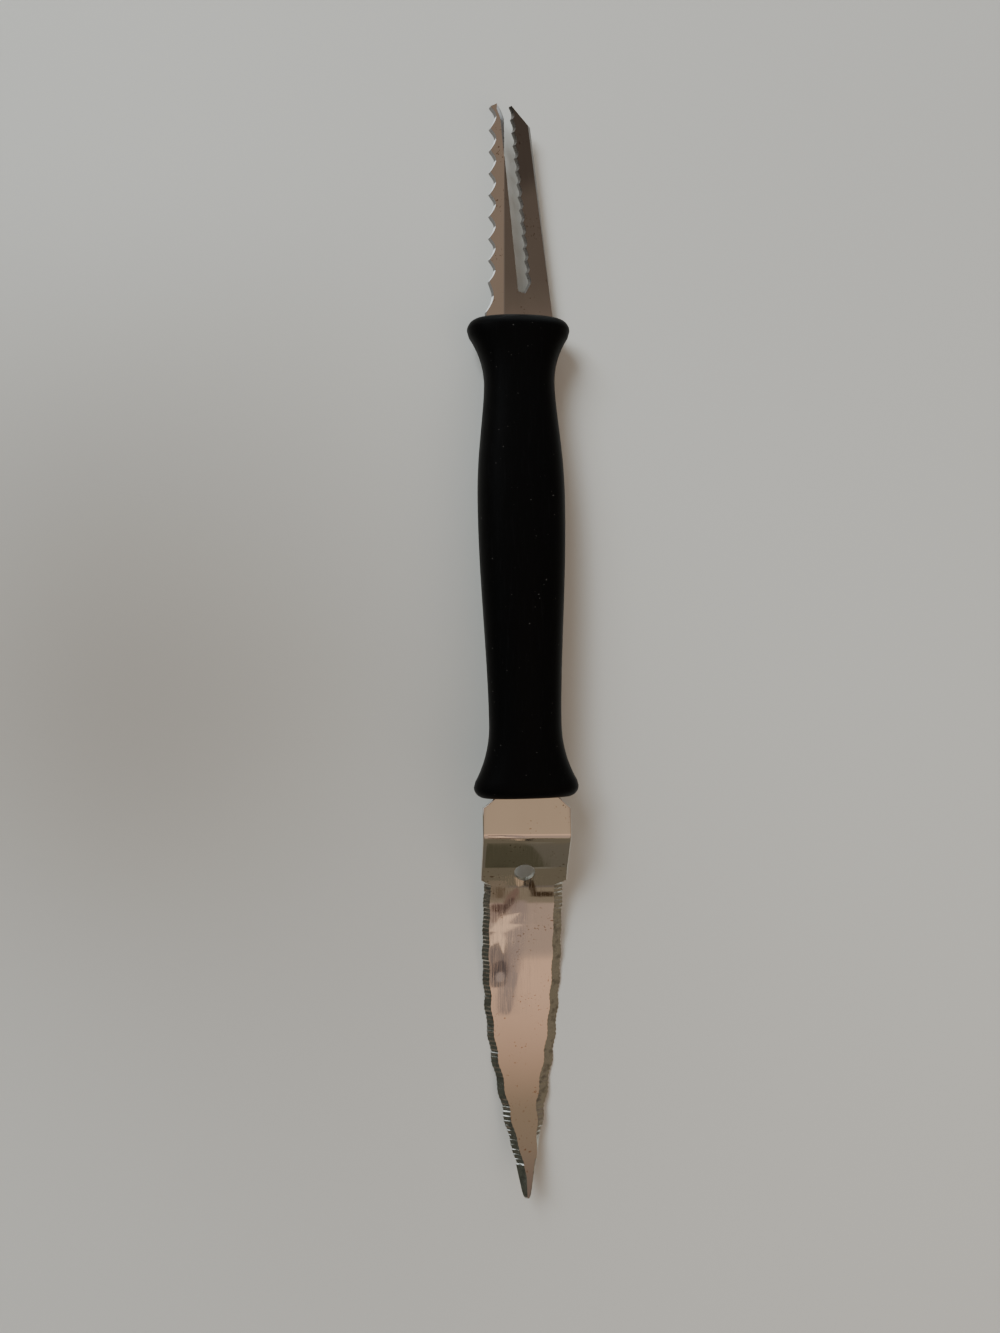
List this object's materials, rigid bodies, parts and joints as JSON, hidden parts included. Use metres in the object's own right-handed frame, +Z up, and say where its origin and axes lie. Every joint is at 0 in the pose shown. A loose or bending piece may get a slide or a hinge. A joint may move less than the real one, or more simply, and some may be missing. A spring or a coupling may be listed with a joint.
{
  "type": "grapefruit knife",
  "caption": "Double-ended grapefruit knife: a waisted plastic handle with a wide curved serrated blade at one end and a forked, folded twin blade at the other.",
  "frame": {"origin": "centre of the knife's box at its underside, with the knife lying on its curved blade's belly and on the far flare of its handle", "axes": "+Y along the knife towards the twin blade, +X to the right with the twin blade pointing away, +Z up"},
  "size_m": [0.0234, 0.2484, 0.0194],
  "materials": {
    "black_plastic": "satin moulded black plastic",
    "blade_steel": "stainless sheet, polished, with fine scratches from use"
  },
  "bodies": {
    "root": {"handle": "black_plastic", "curved_blade": "blade_steel", "twin_blade": "blade_steel"}
  },
  "joints": []
}
